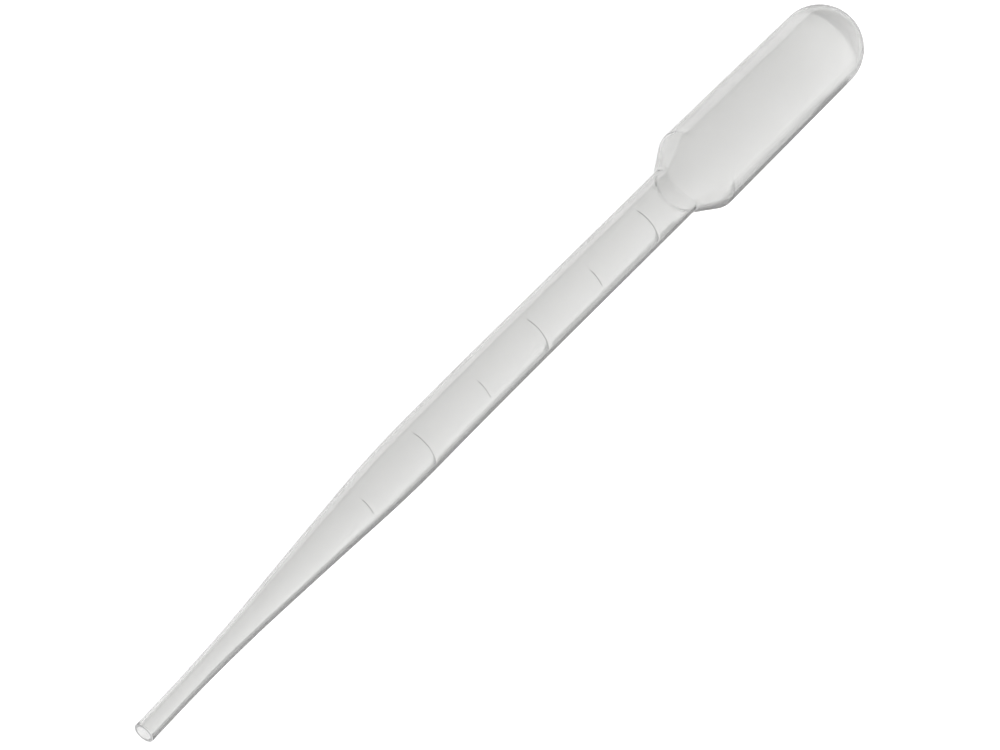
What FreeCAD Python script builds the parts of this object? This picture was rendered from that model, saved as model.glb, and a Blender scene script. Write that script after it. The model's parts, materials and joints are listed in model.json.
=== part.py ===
"""A graduated plastic dropper pipette, blow-moulded in one piece from soft polyethylene.

The body is one thin wall with round sections: an open spout, a slow flare, a straight stem, a conical
shoulder and a squeeze bulb closed by a dome. It has taken a slight set at the flare and the lower stem, so
that the spout leans to one side. Moulded volume lines stand up from the stem. The bulb and the upper stem
are drawn along +X, with places counted along the centre line from the mouth. Then the pipette is laid down
on the plane z = 0 as it comes to rest there. All sizes are in millimetres and degrees.
"""

import FreeCAD, Part
import math
import os

# Lengths along the axis, from the spout's mouth to the bulb's end.
TIP_LENGTH = 15.5
FLARE_LENGTH = 37.9
STEM_LENGTH = 64.6
SHOULDER_LENGTH = 5.0
BULB_LENGTH = 30.4

# Outer diameters, and how much the bulb's gets less from the shoulder to the dome.
TIP_DIAMETER = 3.0
STEM_DIAMETER = 7.84
BULB_DIAMETER = 13.26
BULB_NARROWING = 0.32

# Wall thicknesses.
TIP_WALL = 0.38
STEM_WALL = 0.38
BULB_WALL = 0.4

# Roundings of the outer surface where two stretches meet, and of the mouth's rim.
FLARE_START_RADIUS = 320.0
FLARE_END_RADIUS = 200.0
SHOULDER_FOOT_RADIUS = 0.3
SHOULDER_TOP_RADIUS = 1.7
RIM_RADIUS = 0.09

# The set: an even bend from the flare's cone to a way up the stem, which makes the spout lean towards -Y.
BENT_STEM_LENGTH = 25.0
BEND_ANGLE = 1.77

# Volume lines, in cubic millimetres to a division: long for whole millilitres and short for the halves.
DIVISION_VOLUME = 500.0
SHORTS_PER_LONG = 1
LONG_LINE_ANGLE = 90.0
SHORT_LINE_ANGLE = 50.0
LINE_WIDTH = 0.42
LINE_HEIGHT = 0.12
LINE_TO_SHOULDER = 2.0

# How far the middle of the lines is turned about the axis from straight up, towards -Y.
LINES_TURN = 15.0

# Steps in which outlines are sampled and the bent stretch is skinned.
OUTLINE_STEP = 0.05
BEND_STEP = 2.5

ORIGIN = FreeCAD.Vector(0, 0, 0)
X_AXIS = FreeCAD.Vector(1, 0, 0)
Y_AXIS = FreeCAD.Vector(0, 1, 0)
Z_AXIS = FreeCAD.Vector(0, 0, 1)


def stations():
    """Places along the axis where the straight stretches would meet if no corner were rounded."""
    tip_end = TIP_LENGTH
    stem_start = tip_end + FLARE_LENGTH
    stem_end = stem_start + STEM_LENGTH
    bulb_start = stem_end + SHOULDER_LENGTH
    dome_start = bulb_start + BULB_LENGTH
    return tip_end, stem_start, stem_end, bulb_start, dome_start


def dome_radius():
    return (BULB_DIAMETER - BULB_NARROWING) / 2


def outer_corners():
    """(place, radius, rounding) of each corner of the outer surface, from the mouth to the dome."""
    tip_end, stem_start, stem_end, bulb_start, dome_start = stations()
    return [
        (0.0, TIP_DIAMETER / 2 - TIP_WALL / 2, 0.0),
        (0.0, TIP_DIAMETER / 2, RIM_RADIUS),
        (tip_end, TIP_DIAMETER / 2, FLARE_START_RADIUS),
        (stem_start, STEM_DIAMETER / 2, FLARE_END_RADIUS),
        (stem_end, STEM_DIAMETER / 2, SHOULDER_FOOT_RADIUS),
        (bulb_start, BULB_DIAMETER / 2, SHOULDER_TOP_RADIUS),
        (dome_start, dome_radius(), 0.0),
    ]


def inner_corners():
    """The same for the bore: the outer corners moved in by the wall, square to each stretch."""
    tip_end, stem_start, stem_end, bulb_start, dome_start = stations()
    slope = (BULB_DIAMETER - STEM_DIAMETER) / 2 / SHOULDER_LENGTH
    shoulder_drop = BULB_WALL * math.hypot(1, slope)
    return [
        (0.0, TIP_DIAMETER / 2 - TIP_WALL / 2, 0.0),
        (0.0, TIP_DIAMETER / 2 - TIP_WALL, RIM_RADIUS),
        (tip_end, TIP_DIAMETER / 2 - TIP_WALL, FLARE_START_RADIUS + TIP_WALL),
        (stem_start, STEM_DIAMETER / 2 - STEM_WALL, FLARE_END_RADIUS - STEM_WALL),
        (
            stem_end + (shoulder_drop - STEM_WALL) / slope,
            STEM_DIAMETER / 2 - STEM_WALL,
            SHOULDER_FOOT_RADIUS + STEM_WALL,
        ),
        (
            bulb_start + (shoulder_drop - BULB_WALL) / slope,
            BULB_DIAMETER / 2 - BULB_WALL,
            max(SHOULDER_TOP_RADIUS - BULB_WALL, 0.0),
        ),
        (dome_start, dome_radius() - BULB_WALL, 0.0),
    ]


def on_section(place, radius):
    """A point of the drawn section. It hangs below the axis, so that a turned surface's seam faces down."""
    return FreeCAD.Vector(place, 0, -radius)


def rounded_edges(corners):
    """Straight runs through the corners, joined by tangent arcs at each corner that has a rounding."""
    points = [on_section(place, radius) for place, radius, _ in corners]
    edges = []
    start = points[0]
    for i in range(1, len(points) - 1):
        corner = points[i]
        back = (points[i - 1] - corner).normalize()
        ahead = (points[i + 1] - corner).normalize()
        rounding = corners[i][2]
        if rounding <= 0:
            edges.append(Part.LineSegment(start, corner).toShape())
            start = corner
            continue
        half = back.getAngle(ahead) / 2
        reach = rounding / math.tan(half)
        centre = corner + (back + ahead).normalize() * (rounding / math.sin(half))
        first = corner + back * reach
        last = corner + ahead * reach
        middle = centre + (corner - centre).normalize() * rounding
        edges.append(Part.LineSegment(start, first).toShape())
        edges.append(Part.Arc(first, middle, last).toShape())
        start = last
    edges.append(Part.LineSegment(start, points[-1]).toShape())
    return edges


def dome_arc(radius):
    """A quarter circle from the end of the bulb's straight wall to the axis."""
    centre = stations()[-1]
    diagonal = radius / math.sqrt(2)
    return Part.Arc(
        on_section(centre, radius),
        on_section(centre + diagonal, diagonal),
        on_section(centre + radius, 0),
    ).toShape()


def outer_edges():
    return rounded_edges(outer_corners()) + [dome_arc(dome_radius())]


def inner_edges():
    return rounded_edges(inner_corners()) + [dome_arc(dome_radius() - BULB_WALL)]


def profile_points(edges):
    """(place, radius) pairs along an outline, from the mouth to the bulb's end."""
    points = []
    for edge in edges:
        count = max(2, math.ceil(edge.Length / OUTLINE_STEP))
        stretch = [(p.x, -p.z) for p in edge.discretize(count)]
        if points and math.dist(points[-1], stretch[0]) > math.dist(points[-1], stretch[-1]):
            stretch.reverse()
        points += stretch
    return points


def radius_at(points, place):
    """Radius of an outline at a place along the axis."""
    for (x0, r0), (x1, r1) in zip(points, points[1:]):
        if x0 < x1 and x0 <= place <= x1:
            return r0 + (r1 - r0) * (place - x0) / (x1 - x0)
    raise ValueError("the place is off the outline")


def first_line_place(bore_points):
    """Place along the axis up to which the bore, filled from the mouth, holds one division."""
    volume = 0.0
    for (x0, r0), (x1, r1) in zip(bore_points, bore_points[1:]):
        if x1 <= x0:
            continue
        added = math.pi * (x1 - x0) * (r0 * r0 + r0 * r1 + r1 * r1) / 3
        if volume + added >= DIVISION_VOLUME:
            return x0 + (x1 - x0) * (DIVISION_VOLUME - volume) / added
        volume += added
    raise ValueError("the pipette holds less than one division")


def line_places(bore_points):
    """Places of the volume lines: from the first, at the length of straight stem that holds one division, as
    far as the last that clears the shoulder."""
    pitch = DIVISION_VOLUME / (math.pi * (STEM_DIAMETER / 2 - STEM_WALL) ** 2)
    last_place = stations()[2] - LINE_TO_SHOULDER
    first = first_line_place(bore_points)
    count = 1 + math.floor((last_place - first) / pitch)
    return [first + i * pitch for i in range(count)]


def bend_ends():
    """Places between which the centre line bends: where the flare's cone starts, outside and in the bore, and
    the end of the bent length of stem."""
    starts = []
    ends = []
    for corners in (outer_corners(), inner_corners()):
        (foot, foot_radius, foot_rounding), (top, top_radius, top_rounding) = corners[2:4]
        half_slope = math.atan2(top_radius - foot_radius, top - foot) / 2
        starts.append(foot + foot_rounding * math.tan(half_slope))
        ends.append(top + top_rounding * math.tan(half_slope))
    return max(starts), max(ends) + BENT_STEM_LENGTH


def carried(shape, place):
    """A copy of a shape drawn round the straight line, moved to that place's part of the bent centre line."""
    start, end = bend_ends()
    bend_radius = (end - start) / math.radians(BEND_ANGLE)
    before_end = min(max(end - place, 0.0), end - start)
    moved = shape.copy()
    moved.translate(FreeCAD.Vector(before_end - end, 0, 0))
    moved.rotate(FreeCAD.Vector(0, -bend_radius, 0), Z_AXIS, math.degrees(before_end / bend_radius))
    moved.translate(FreeCAD.Vector(end, 0, 0))
    return moved


def turned(edges):
    """The solid inside an outline that runs from the mouth to the bulb's end, round the straight line."""
    mouth_side = Part.LineSegment(ORIGIN, edges[0].firstVertex().Point).toShape()
    pole = edges[-1].lastVertex().Point
    axis_side = Part.LineSegment(pole, ORIGIN).toShape()
    section = Part.Face(Part.Wire([mouth_side] + edges + [axis_side]))
    return section.revolve(ORIGIN, X_AXIS, 360)


def slab(start, end):
    """A block wider than the pipette, between two places."""
    width = 2 * BULB_DIAMETER
    return Part.makeBox(end - start, width, width, FreeCAD.Vector(start, -width / 2, -width / 2))


def bent_stretch(points):
    """The bent stretch inside an outline: a skin through round sections set square on the centre line."""
    start, end = bend_ends()
    count = math.ceil((end - start) / BEND_STEP)
    sections = []
    for i in range(count + 1):
        place = start + (end - start) * i / count
        centre = FreeCAD.Vector(place, 0, 0)
        ring = Part.makeCircle(radius_at(points, place), centre, X_AXIS)
        ring.rotate(centre, X_AXIS, -90)
        sections.append(carried(Part.Wire([ring]), place))
    return Part.makeLoft(sections, True)


def make_wall():
    """The whole thin wall, open at the mouth and closed at the dome. Its two straight ends are turned, and
    the bent stretch is skinned to join them."""
    start, end = bend_ends()
    outline = outer_edges()
    bore = inner_edges()
    straight = turned(outline).cut(turned(bore))
    spout = carried(straight.common(slab(-TIP_DIAMETER, start)), start)
    head = straight.common(slab(end, stations()[-1] + BULB_DIAMETER))
    middle = bent_stretch(profile_points(outline)).cut(bent_stretch(profile_points(bore)))
    return head.fuse([middle, spout])


def make_volume_line(place, surface_radius, wall, sweep):
    """One raised line: a round-topped rib, rooted in the wall, that follows the stem round by the sweep."""
    half = LINE_WIDTH / 2
    crown = (half * half + LINE_HEIGHT * LINE_HEIGHT) / (2 * LINE_HEIGHT)
    middle = surface_radius + LINE_HEIGHT - crown
    root = surface_radius - wall / 2
    half_root = math.sqrt(crown * crown - (middle - root) ** 2)
    left = FreeCAD.Vector(place - half_root, 0, root)
    crest = FreeCAD.Vector(place, 0, surface_radius + LINE_HEIGHT)
    right = FreeCAD.Vector(place + half_root, 0, root)
    over = Part.Arc(left, crest, right).toShape()
    under = Part.LineSegment(right, left).toShape()
    section = Part.Face(Part.Wire([over, under]))
    section.rotate(ORIGIN, X_AXIS, LINES_TURN - sweep / 2)
    return carried(section.revolve(ORIGIN, X_AXIS, sweep), place)


def make_volume_lines():
    """All the lines, from the one nearest the mouth up to the last that clears the shoulder."""
    outer_points = profile_points(outer_edges())
    bore_points = profile_points(inner_edges())
    lines = []
    for i, place in enumerate(line_places(bore_points)):
        surface = radius_at(outer_points, place)
        wall = surface - radius_at(bore_points, place)
        is_short = i % (SHORTS_PER_LONG + 1) < SHORTS_PER_LONG
        sweep = SHORT_LINE_ANGLE if is_short else LONG_LINE_ANGLE
        lines.append(make_volume_line(place, surface, wall, sweep))
    return lines


def resting_tilt(weight_place):
    """Angle of the axis when the pipette lies on its side: its outline stands on the two places, one each
    side of the centre of weight, that the outline's lower hull joins."""
    hull = []
    for point in profile_points(outer_edges()):
        while len(hull) > 1:
            (xa, ra), (xb, rb) = hull[-2:]
            if (xb - xa) * (point[1] - ra) - (rb - ra) * (point[0] - xa) < 0:
                break
            hull.pop()
        hull.append(point)
    for (xa, ra), (xb, rb) in zip(hull, hull[1:]):
        if xa <= weight_place <= xb:
            return math.degrees(math.atan2(rb - ra, xb - xa))
    raise ValueError("the weight lies beyond the outline")


def lay_down(body):
    """Tilts the body to rest, then puts its lowest point on z = 0 and its middle over the origin."""
    laid = body.copy()
    laid.rotate(ORIGIN, Y_AXIS, -resting_tilt(body.CenterOfMass.x))
    box = laid.optimalBoundingBox(False, False)
    middle_x = (box.XMin + box.XMax) / 2
    middle_y = (box.YMin + box.YMax) / 2
    laid.translate(FreeCAD.Vector(-middle_x, -middle_y, -box.ZMin))
    return laid


def make_pipette():
    """The wall with its lines fused on, which has to be a single solid."""
    joined = make_wall().fuse(make_volume_lines()).removeSplitter()
    if len(joined.Solids) != 1:
        raise ValueError("the lines and the wall are not one solid")
    return joined.Solids[0]


def main():
    os.makedirs("parts", exist_ok=True)
    drawn = make_pipette()
    pipette = lay_down(drawn)
    pipette.exportStep("parts/pipette.step")
    box = pipette.optimalBoundingBox(False, False)
    print("solids", len(pipette.Solids), "valid", pipette.isValid(), "volume", round(pipette.Volume, 1))
    print("size", round(box.XLength, 2), round(box.YLength, 2), round(box.ZLength, 2))
    print("centre of weight at", round(drawn.CenterOfMass.x, 2), "along the axis")
    print("resting tilt", round(resting_tilt(drawn.CenterOfMass.x), 3))


if __name__ == "__main__":
    main()
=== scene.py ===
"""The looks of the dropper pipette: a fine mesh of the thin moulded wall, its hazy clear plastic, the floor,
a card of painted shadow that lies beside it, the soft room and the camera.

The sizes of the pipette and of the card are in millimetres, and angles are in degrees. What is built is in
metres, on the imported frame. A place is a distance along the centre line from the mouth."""

import bmesh
import bpy
import json
import math
from mathutils import Matrix, Vector


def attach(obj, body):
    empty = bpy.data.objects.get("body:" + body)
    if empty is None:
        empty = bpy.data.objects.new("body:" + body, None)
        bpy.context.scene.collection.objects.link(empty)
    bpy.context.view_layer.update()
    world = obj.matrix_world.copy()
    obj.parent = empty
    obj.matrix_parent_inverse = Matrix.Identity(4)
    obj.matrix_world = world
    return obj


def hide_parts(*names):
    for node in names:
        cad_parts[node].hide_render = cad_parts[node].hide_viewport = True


MM = 0.001

# The pipette along its centre line and across it, as its construction has it.
TIP_LENGTH = 15.5
FLARE_LENGTH = 37.9
STEM_LENGTH = 64.6
SHOULDER_LENGTH = 5.0
BULB_LENGTH = 30.4
BULB_NARROWING = 0.32
TIP_RADIUS = 1.5
STEM_RADIUS = 3.92
BULB_RADIUS = 6.63
TIP_WALL = 0.38
STEM_WALL = 0.38
BULB_WALL = 0.4
FLARE_START_RADIUS = 320.0
FLARE_END_RADIUS = 200.0
SHOULDER_FOOT_RADIUS = 0.3
SHOULDER_TOP_RADIUS = 1.7
RIM_RADIUS = 0.09
BENT_STEM_LENGTH = 25.0

# The shoulder's foot is softer here than in the construction, because a tight bend in clear plastic draws a
# black ring.
SOFT_FOOT_RADIUS = 1.6
SOFT_FOOT_INNER_RADIUS = 1.45

# Volume lines. DIVISION_VOLUME is in cubic millimetres. The lines are lower here than in the construction,
# and fade out at their ends, because taller ends catch the light as white spots.
DIVISION_VOLUME = 500.0
LINE_COUNT = 6
LONG_LINE_ANGLE = 90.0
SHORT_LINE_ANGLE = 50.0
LINE_WIDTH = 0.42
LINE_HEIGHT = 0.045
LINE_END_ANGLE = 16.0
LINES_TURN = 15.0
# A line is hazy where it stands at least this share of its height, across it and along it.
CREST_SHARE = 0.9
HAZY_LINE_SHARE = 0.5

# Fineness of the mesh: points round it, steps along it, and rings over the half width of a line. The
# outline's own rings keep LINE_CLEARANCE half widths from the middle of a line. A ring smaller than
# POINT_RADIUS is one point.
ROUND = 180
STRAIGHT_STEP = 1.2
ARC_STEP = 0.4
ARC_LEAST_STEPS = 6
LINE_RINGS = 4
LINE_CLEARANCE = 1.2
POINT_RADIUS = 1e-6

# The wall's materials in the order of their slots: colour, clearness, and the roughnesses between which the
# haze varies.
WALL_MATERIALS = (
    ("soft_polyethylene", (0.912, 0.912, 0.906), 0.95, 0.09, 0.13),
    ("raised_line", (0.93, 0.93, 0.925), 0.95, 0.13, 0.18),
    ("cut_edge", (0.95, 0.95, 0.95), 0.4, 0.4, 0.46),
)
WALL_SLOT = 0
LINE_SLOT = 1
EDGE_SLOT = 2

# Soft polyethylene. The scales of its patterns are per metre, along the pipette and across it, the depth is
# in metres, and the density is per metre.
REFRACTIVE_INDEX = 1.51
HAZE_SCALE = 220
HAZE_DETAIL = 3
HAZE_LOW = 0.3
HAZE_HIGH = 0.7
STREAK_SCALE = (60, 1500, 1500)
STREAK_DETAIL = 2
STREAK_STRENGTH = 0.15
STREAK_DEPTH = 0.00005
ABSORPTION_COLOUR = (0.5, 0.5, 0.49, 1)
ABSORPTION_DENSITY = 250

# The floor: its shades, its glow, its half width and its depth under the pipette in metres.
FLOOR_SHADE = 0.82
FLOOR_SHADE_IN_PLASTIC = 0.25
FLOOR_GLOW = 0.75
FLOOR_GLOW_IN_PLASTIC = 0.93
FLOOR_HALF_WIDTH = 3.0
FLOOR_DROP = 0.00001
PAPER_ROUGHNESS = 0.9

# The card of painted shadow: a dark sheet that stands in for the pipette's own shadow on the floor beside it,
# as mirrored and bent rays see it. How far its edge lies under the pipette's side, and how it parts from the
# dome as it goes round its end.
CARD_OVERLAP = 0.05
CARD_TIP_OVERLAP = 0.08
CARD_WIDTH = 10.0
CARD_END_GAP = 5.2
CARD_END_WIDTH = 30.0
CARD_TURN_STEP = 15
CARD_PARTED_TURN = 60
CARD_END_TURN = 135
CARD_RISE = 0.02
# Painted shadow: how dark the card is along the pipette's side.
SIDE_PAINTED_SHADOW = 0.46
# Painted shade: the lighter card round the dome's end, which the dome is seen against.
END_PAINTED_SHADE = 0.95
END_CARD_SLOT = 1

# The room's strength on its bright side and opposite to it.
BRIGHT_SIDE = (0.0, -1.0, 0.0)
BRIGHT_STRENGTH = 1.75
DIM_STRENGTH = 0.05

# The camera: its lens, its distance in metres from the place that it faces, how far it leans from the centre
# line, how far beside the line it aims, and the slope of the stem in the picture.
LENS = 180
SENSOR_WIDTH = 36
FARTHEST_SEEN = 20
FACED_PLACE = 76.2
CAMERA_DISTANCE = 0.685
CAMERA_LEAN = 59.0
AIM_ASIDE = -1.08
PICTURE_SLOPE = 44.64


def stations():
    """Places where the straight stretches would meet if no corner were rounded."""
    tip_end = TIP_LENGTH
    stem_start = tip_end + FLARE_LENGTH
    stem_end = stem_start + STEM_LENGTH
    bulb_start = stem_end + SHOULDER_LENGTH
    dome_start = bulb_start + BULB_LENGTH
    return tip_end, stem_start, stem_end, bulb_start, dome_start


def corners():
    """(place, radius, rounding) of the outer and the inner surface's corners, from the mouth to the dome."""
    tip_end, stem_start, stem_end, bulb_start, dome_start = stations()
    dome_radius = BULB_RADIUS - BULB_NARROWING / 2
    slope = (BULB_RADIUS - STEM_RADIUS) / SHOULDER_LENGTH
    drop = BULB_WALL * math.hypot(1, slope)
    rim = (0.0, TIP_RADIUS - TIP_WALL / 2, 0.0)
    outer = [
        rim,
        (0.0, TIP_RADIUS, RIM_RADIUS),
        (tip_end, TIP_RADIUS, FLARE_START_RADIUS),
        (stem_start, STEM_RADIUS, FLARE_END_RADIUS),
        (stem_end, STEM_RADIUS, SOFT_FOOT_RADIUS),
        (bulb_start, BULB_RADIUS, SHOULDER_TOP_RADIUS),
        (dome_start, dome_radius, 0.0),
    ]
    inner = [
        rim,
        (0.0, TIP_RADIUS - TIP_WALL, RIM_RADIUS),
        (tip_end, TIP_RADIUS - TIP_WALL, FLARE_START_RADIUS + TIP_WALL),
        (stem_start, STEM_RADIUS - STEM_WALL, FLARE_END_RADIUS - STEM_WALL),
        (stem_end + (drop - STEM_WALL) / slope, STEM_RADIUS - STEM_WALL, SOFT_FOOT_INNER_RADIUS),
        (bulb_start + (drop - BULB_WALL) / slope, BULB_RADIUS - BULB_WALL, SHOULDER_TOP_RADIUS - BULB_WALL),
        (dome_start, dome_radius - BULB_WALL, 0.0),
    ]
    return outer, inner


def stretch_points(start, end):
    """Points from start up to, not including, end, no further apart than the step of a straight stretch."""
    count = max(1, math.ceil((end - start).length / STRAIGHT_STEP))
    return [start.lerp(end, i / count) for i in range(count)]


def outline(corner_list):
    """(place, radius) points of a surface: straight runs, tangent arcs at the corners and a round dome."""
    points = [Vector((place, radius)) for place, radius, _ in corner_list]
    found = []
    start = points[0]
    for i in range(1, len(points) - 1):
        corner = points[i]
        rounding = corner_list[i][2]
        back = (points[i - 1] - corner).normalized()
        ahead = (points[i + 1] - corner).normalized()
        half = back.angle(ahead) / 2
        centre = corner + (back + ahead).normalized() * (rounding / math.sin(half))
        first = corner + back * (rounding / math.tan(half))
        last = corner + ahead * (rounding / math.tan(half))
        found += stretch_points(start, first)
        sweep = math.pi - 2 * half
        count = max(ARC_LEAST_STEPS, math.ceil(rounding * sweep / ARC_STEP))
        from_centre = first - centre
        side = from_centre.cross(last - centre)
        for j in range(count):
            turn = math.copysign(sweep * j / count, side)
            found.append(centre + Matrix.Rotation(turn, 2) @ from_centre)
        start = last
    found += stretch_points(start, points[-1])
    place, radius = points[-1]
    count = math.ceil(radius * math.pi / 2 / ARC_STEP)
    for j in range(count + 1):
        turn = math.pi / 2 * j / count
        found.append(Vector((place + radius * math.sin(turn), radius * math.cos(turn))))
    return found


def bend_ends(outer, inner):
    """Places between which the centre line bends: where the flare's cone starts, and a way up the stem."""
    starts = []
    ends = []
    for corner_list in (outer, inner):
        (foot, foot_radius, foot_rounding), (top, top_radius, top_rounding) = corner_list[2:4]
        half_slope = math.atan2(top_radius - foot_radius, top - foot) / 2
        starts.append(foot + foot_rounding * math.tan(half_slope))
        ends.append(top + top_rounding * math.tan(half_slope))
    return max(starts), max(ends) + BENT_STEM_LENGTH


def stem_straight_end():
    """Place where the construction's stem stops being straight, at the shoulder's foot."""
    shoulder_turn = math.atan2(BULB_RADIUS - STEM_RADIUS, SHOULDER_LENGTH)
    return stations()[2] - SHOULDER_FOOT_RADIUS * math.tan(shoulder_turn / 2)


def radius_at(points, place):
    """Radius of a surface's outline at a place."""
    for a, b in zip(points, points[1:]):
        if a.x < b.x and a.x <= place <= b.x:
            return a.y + (b.y - a.y) * (place - a.x) / (b.x - a.x)
    raise ValueError("the place is off the outline")


def line_places(bore):
    """Places of the volume lines: the bore holds one division up to the first, and one more to each next."""
    volume = 0.0
    for a, b in zip(bore, bore[1:]):
        added = math.pi * (b.x - a.x) * (a.y * a.y + a.y * b.y + b.y * b.y) / 3
        if volume + added >= DIVISION_VOLUME:
            first = a.x + (b.x - a.x) * (DIVISION_VOLUME - volume) / added
            break
        volume += max(added, 0.0)
    pitch = DIVISION_VOLUME / (math.pi * (STEM_RADIUS - STEM_WALL) ** 2)
    return [first + i * pitch for i in range(LINE_COUNT)]


def with_line_rings(outer, places):
    """The outer outline with rings packed over each volume line: (place, radius, height of the line there,
    index of the line)."""
    half = LINE_WIDTH / 2
    crown = (half * half + LINE_HEIGHT * LINE_HEIGHT) / (2 * LINE_HEIGHT)
    rings = []
    for point in outer:
        if all(abs(point.x - place) > half * LINE_CLEARANCE for place in places):
            rings.append((point.x, point.y, 0.0, 0))
    for i, place in enumerate(places):
        for j in range(-LINE_RINGS, LINE_RINGS + 1):
            offset = half * j / LINE_RINGS
            height = math.sqrt(crown * crown - offset * offset) - (crown - LINE_HEIGHT)
            rings.append((place + offset, radius_at(outer, place + offset), max(height, 0.0), i))
    return sorted(rings, key=lambda ring: ring[0])


class CentreLine:
    """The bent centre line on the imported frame, found from the mounts of the stem and the spout."""

    def __init__(self, record, bend_start, bend_end):
        mounts = {mount["name"]: mount for mount in record["mounts"]}
        stem = mounts["stem"]
        spout = mounts["spout"]
        self.along = -Vector(stem["axis"]).normalized()
        self.side = Vector((0, 1, 0))
        self.up = self.along.cross(self.side)
        self.stem_middle = Vector(stem["pos_m"])
        self.stem_place = (bend_end + stem_straight_end()) / 2
        self.start = bend_start
        self.end = bend_end
        lean = -Vector(spout["axis"]).normalized()
        self.bend = lean.angle(self.along)

    def point(self, place, side, up):
        """Where a point lies that is at a place along the centre line and off it by side and up."""
        before_end = min(max(self.end - place, 0.0), self.end - self.start)
        radius = (self.end - self.start) / self.bend
        turn = before_end / radius
        ahead = place + before_end - self.end
        x = self.end + ahead * math.cos(turn) - (side + radius) * math.sin(turn)
        y = -radius + ahead * math.sin(turn) + (side + radius) * math.cos(turn)
        return self.stem_middle + ((x - self.stem_place) * self.along + y * self.side + up * self.up) * MM


def line_share(turn, index):
    """How much of a volume line's height stands at an angle about the axis: all of it, fading to none at its
    ends."""
    sweep = LONG_LINE_ANGLE if index % 2 else SHORT_LINE_ANGLE
    off_middle = math.degrees(turn) - LINES_TURN
    off_middle = abs((off_middle + 180) % 360 - 180)
    left = (sweep / 2 - off_middle) / LINE_END_ANGLE
    return math.sqrt(min(max(left, 0.0), 1.0))


def make_wall(line, outer_rings, inner_points):
    """The closed thin wall as one mesh."""
    bm = bmesh.new()

    def ring(place, radius, height, index):
        if radius < POINT_RADIUS:
            return [bm.verts.new(line.point(place, 0, 0))]
        verts = []
        for i in range(ROUND):
            turn = 2 * math.pi * i / ROUND
            reach = radius + (height * line_share(turn, index) if height else 0.0)
            verts.append(bm.verts.new(line.point(place, -reach * math.sin(turn), reach * math.cos(turn))))
        return verts

    inner_rings = [(point.x, point.y, 0.0, 0) for point in inner_points]
    outer = [ring(*values) for values in outer_rings]
    inner = outer[:1] + [ring(*values) for values in inner_rings[1:]]
    for rings, surface in ((outer_rings, outer), (inner_rings, inner)):
        for n, (a, b) in enumerate(zip(surface, surface[1:])):
            on_edge = rings[n + 1][0] <= RIM_RADIUS
            on_crest = min(rings[n][2], rings[n + 1][2]) > CREST_SHARE * LINE_HEIGHT
            for i in range(ROUND):
                j = (i + 1) % ROUND
                face = bm.faces.new([a[i], a[j], b[j], b[i]] if len(b) > 1 else [a[i], a[j], b[0]])
                face.smooth = True
                turn = 2 * math.pi * (i + 0.5) / ROUND
                if on_edge:
                    face.material_index = EDGE_SLOT
                elif on_crest and line_share(turn, rings[n][3]) > HAZY_LINE_SHARE:
                    face.material_index = LINE_SLOT
                else:
                    face.material_index = WALL_SLOT
    bmesh.ops.recalc_face_normals(bm, faces=bm.faces)
    mesh = bpy.data.meshes.new("moulded_wall")
    bm.to_mesh(mesh)
    bm.free()
    return add_object("moulded_wall", mesh)


def add_object(name, data):
    """A new object of a mesh or a camera, in the scene."""
    thing = bpy.data.objects.new(name, data)
    bpy.context.scene.collection.objects.link(thing)
    return thing


def new_material(name):
    """A material, its nodes, its links and its shader."""
    material = bpy.data.materials.new(name)
    material.use_nodes = True
    tree = material.node_tree
    return material, tree.nodes, tree.links, tree.nodes["Principled BSDF"]


def set_sockets(node, values):
    """The node with its sockets set."""
    for name, value in values.items():
        node.inputs[name].default_value = value
    return node


def soft_polyethylene(name, colour, clearness, roughness_low, roughness_high):
    """Hazy clear plastic: its haze varies a little from place to place, and its skin has the faint lengthwise
    streaks and the fine waviness of a blown wall."""
    material, nodes, links, shader = new_material(name)
    set_sockets(
        shader, {"Base Color": (*colour, 1), "IOR": REFRACTIVE_INDEX, "Transmission Weight": clearness}
    )
    place = nodes.new("ShaderNodeTexCoord")

    haze = set_sockets(nodes.new("ShaderNodeTexNoise"), {"Scale": HAZE_SCALE, "Detail": HAZE_DETAIL})
    links.new(place.outputs["Object"], haze.inputs["Vector"])
    roughness = set_sockets(
        nodes.new("ShaderNodeMapRange"),
        {"From Min": HAZE_LOW, "From Max": HAZE_HIGH, "To Min": roughness_low, "To Max": roughness_high},
    )
    links.new(haze.outputs["Fac"], roughness.inputs["Value"])
    links.new(roughness.outputs["Result"], shader.inputs["Roughness"])

    stretched = set_sockets(nodes.new("ShaderNodeMapping"), {"Scale": STREAK_SCALE})
    links.new(place.outputs["Object"], stretched.inputs["Vector"])
    streaks = set_sockets(nodes.new("ShaderNodeTexNoise"), {"Scale": 1, "Detail": STREAK_DETAIL})
    links.new(stretched.outputs["Vector"], streaks.inputs["Vector"])
    relief = set_sockets(
        nodes.new("ShaderNodeBump"), {"Strength": STREAK_STRENGTH, "Distance": STREAK_DEPTH}
    )
    links.new(streaks.outputs["Fac"], relief.inputs["Height"])
    links.new(relief.outputs["Normal"], shader.inputs["Normal"])

    absorption = set_sockets(
        nodes.new("ShaderNodeVolumeAbsorption"), {"Color": ABSORPTION_COLOUR, "Density": ABSORPTION_DENSITY}
    )
    links.new(absorption.outputs["Volume"], nodes["Material Output"].inputs["Volume"])
    return material


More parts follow.
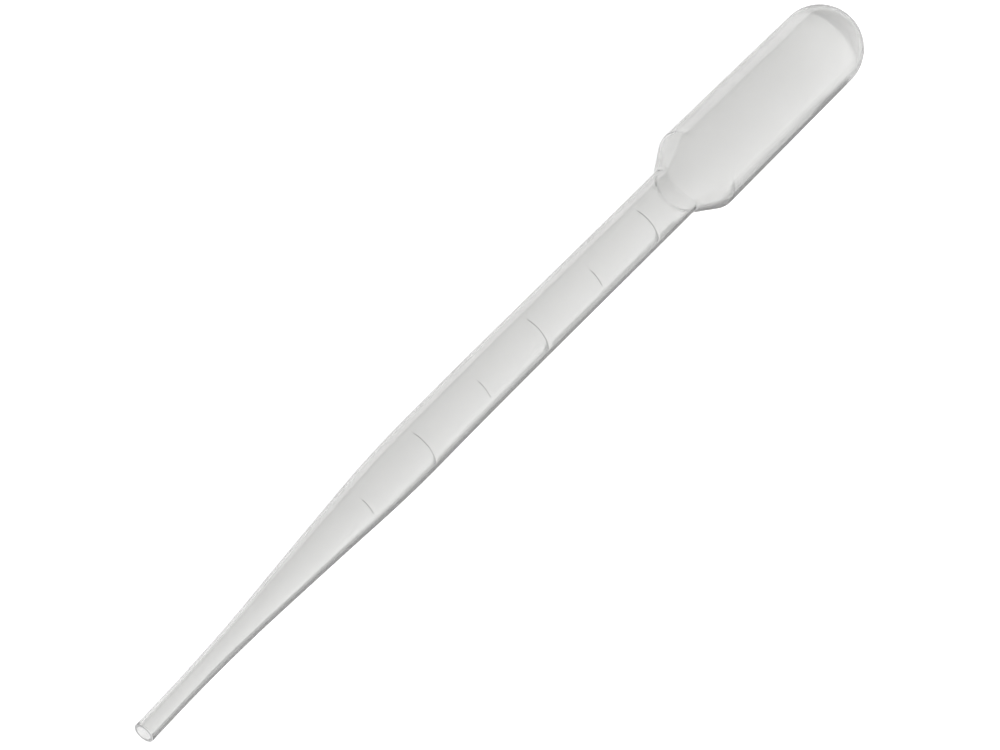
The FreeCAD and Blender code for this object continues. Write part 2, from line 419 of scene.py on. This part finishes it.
def plain_floor():
    """A plain floor that is white to the camera and to mirrored and bent rays, and keeps the pipette's
    shadow."""
    material, nodes, links, shader = new_material("pale_floor")
    set_sockets(
        shader, {"Roughness": PAPER_ROUGHNESS, "Specular IOR Level": 0.0, "Emission Color": (1, 1, 1, 1)}
    )
    path = nodes.new("ShaderNodeLightPath")
    in_plastic = nodes.new("ShaderNodeMath")
    in_plastic.operation = "MAXIMUM"
    links.new(path.outputs["Is Glossy Ray"], in_plastic.inputs[0])
    links.new(path.outputs["Is Transmission Ray"], in_plastic.inputs[1])
    colour = nodes.new("ShaderNodeMix")
    colour.data_type = "RGBA"
    links.new(in_plastic.outputs[0], colour.inputs["Factor"])
    set_sockets(colour, {"A": (*[FLOOR_SHADE] * 3, 1), "B": (*[FLOOR_SHADE_IN_PLASTIC] * 3, 1)})
    links.new(colour.outputs["Result"], shader.inputs["Base Color"])
    glow = nodes.new("ShaderNodeMath")
    glow.operation = "MULTIPLY"
    links.new(in_plastic.outputs[0], glow.inputs[0])
    glow.inputs[1].default_value = FLOOR_GLOW_IN_PLASTIC
    strength = nodes.new("ShaderNodeMath")
    strength.operation = "MULTIPLY_ADD"
    links.new(path.outputs["Is Camera Ray"], strength.inputs[0])
    strength.inputs[1].default_value = FLOOR_GLOW
    links.new(glow.outputs[0], strength.inputs[2])
    links.new(strength.outputs[0], shader.inputs["Emission Strength"])

    signs = ((-1, -1), (1, -1), (1, 1), (-1, 1))
    floor_corners = [(x * FLOOR_HALF_WIDTH, y * FLOOR_HALF_WIDTH, -FLOOR_DROP) for x, y in signs]
    mesh = bpy.data.meshes.new("floor")
    mesh.from_pydata(floor_corners, [], [(0, 1, 2, 3)])
    mesh.materials.append(material)
    return add_object("floor", mesh)


def painted_shadow_card(line):
    """A card that lies on the floor along one side of the pipette and round the dome's end, and doesn't glow.
    Along the side it is painted shadow, a dark sheet that stands in for the pipette's own shadow on the floor
    and draws a dark line down its edge. Round the dome's end it is a lighter painted shade. Only mirrored and
    bent rays meet it."""
    tip_end, stem_start, stem_end, bulb_start, dome_start = stations()
    side = [
        (0.0, TIP_RADIUS - CARD_TIP_OVERLAP),
        (tip_end, TIP_RADIUS - CARD_TIP_OVERLAP),
        (stem_start, STEM_RADIUS - CARD_OVERLAP),
        (stem_end, STEM_RADIUS - CARD_OVERLAP),
        (bulb_start, BULB_RADIUS - CARD_OVERLAP),
        (dome_start, BULB_RADIUS - CARD_OVERLAP),
    ]
    edges = [(place, 0.0, reach, CARD_WIDTH) for place, reach in side]
    for turn in range(CARD_TURN_STEP, CARD_END_TURN + 1, CARD_TURN_STEP):
        parted = min(turn / CARD_PARTED_TURN, 1.0)
        reach = BULB_RADIUS - CARD_OVERLAP + parted * CARD_END_GAP
        width = CARD_WIDTH + parted * (CARD_END_WIDTH - CARD_WIDTH)
        edges.append((dome_start, math.radians(turn), reach, width))
    near = []
    far = []
    for place, turn, reach, width in edges:
        for row, distance in ((near, reach), (far, reach + width)):
            spot = line.point(place + distance * math.sin(turn), -distance * math.cos(turn), 0)
            row.append((spot.x, spot.y, CARD_RISE * MM))
    count = len(near)
    mesh = bpy.data.meshes.new("painted_shadow_card")
    mesh.from_pydata(near + far, [], [(i, i + 1, count + i + 1, count + i) for i in range(count - 1)])
    # The side's dark material is painted shadow, and the pale one round the dome's end is painted shade.
    for name, shade in (("painted_shadow_card", SIDE_PAINTED_SHADOW), ("painted_end_shade", END_PAINTED_SHADE)):
        material, _, _, shader = new_material(name)
        set_sockets(
            shader,
            {"Base Color": (shade, shade, shade, 1), "Roughness": PAPER_ROUGHNESS, "Specular IOR Level": 0.0},
        )
        mesh.materials.append(material)
    for face in mesh.polygons[len(side) + 1:]:
        face.material_index = END_CARD_SLOT
    card = add_object("painted_shadow_card", mesh)
    card.visible_camera = False
    card.visible_diffuse = False
    card.visible_shadow = False
    return card


def light_up():
    """A soft room, brighter on one side than on the other, which the camera sees as white."""
    world = bpy.data.worlds.new("room")
    bpy.context.scene.world = world
    world.use_nodes = True
    nodes = world.node_tree.nodes
    links = world.node_tree.links
    background = nodes["Background"]
    direction = nodes.new("ShaderNodeTexCoord")
    facing = nodes.new("ShaderNodeVectorMath")
    facing.operation = "DOT_PRODUCT"
    links.new(direction.outputs["Generated"], facing.inputs[0])
    facing.inputs[1].default_value = BRIGHT_SIDE
    glow = set_sockets(
        nodes.new("ShaderNodeMapRange"),
        {"From Min": -1.0, "From Max": 1.0, "To Min": DIM_STRENGTH, "To Max": BRIGHT_STRENGTH},
    )
    links.new(facing.outputs["Value"], glow.inputs["Value"])
    path = nodes.new("ShaderNodeLightPath")
    strength = nodes.new("ShaderNodeMix")
    links.new(path.outputs["Is Camera Ray"], strength.inputs["Factor"])
    links.new(glow.outputs["Result"], strength.inputs["A"])
    strength.inputs["B"].default_value = 1.0
    links.new(strength.outputs["Result"], background.inputs["Strength"])
    background.inputs["Color"].default_value = (1, 1, 1, 1)


def make_camera(line):
    """The camera looks down on the pipette from above its spout's side."""
    data = bpy.data.cameras.new("camera")
    data.lens = LENS
    data.sensor_width = SENSOR_WIDTH
    data.clip_end = FARTHEST_SEEN
    faced = line.point(FACED_PLACE, 0, 0)
    lean = math.radians(CAMERA_LEAN)
    towards = (line.up * math.sin(lean) - line.along * math.cos(lean)).normalized()
    place = faced + towards * CAMERA_DISTANCE
    aim = faced + line.side * AIM_ASIDE * MM
    back = (place - aim).normalized()
    stem = (line.along - back * line.along.dot(back)).normalized()
    across = back.cross(stem)
    slope = math.radians(PICTURE_SLOPE)
    right = stem * math.cos(slope) - across * math.sin(slope)
    up = stem * math.sin(slope) + across * math.cos(slope)
    rotation = Matrix((right, up, back)).transposed()
    camera = add_object("camera", data)
    camera.matrix_world = Matrix.Translation(place) @ rotation.to_4x4()
    bpy.context.scene.camera = camera


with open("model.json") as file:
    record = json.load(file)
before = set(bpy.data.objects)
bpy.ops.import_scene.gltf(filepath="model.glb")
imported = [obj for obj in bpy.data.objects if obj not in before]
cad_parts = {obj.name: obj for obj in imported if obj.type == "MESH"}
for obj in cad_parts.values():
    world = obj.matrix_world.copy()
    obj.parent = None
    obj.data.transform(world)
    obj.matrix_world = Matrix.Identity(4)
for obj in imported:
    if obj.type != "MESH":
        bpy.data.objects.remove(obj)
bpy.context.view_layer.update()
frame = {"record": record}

outer_corners, inner_corners = corners()
centre_line = CentreLine(frame["record"], *bend_ends(outer_corners, inner_corners))
outer_outline = outline(outer_corners)
inner_outline = outline(inner_corners)
wall = make_wall(centre_line, with_line_rings(outer_outline, line_places(inner_outline)), inner_outline)
for values in WALL_MATERIALS:
    wall.data.materials.append(soft_polyethylene(*values))
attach(wall, "root")
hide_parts("pipette")
plain_floor()
# A card of painted shadow beside the pipette, seen only in reflections and through the plastic.
painted_shadow_card(centre_line)
light_up()
make_camera(centre_line)

bpy.context.scene.view_settings.view_transform = "Standard"
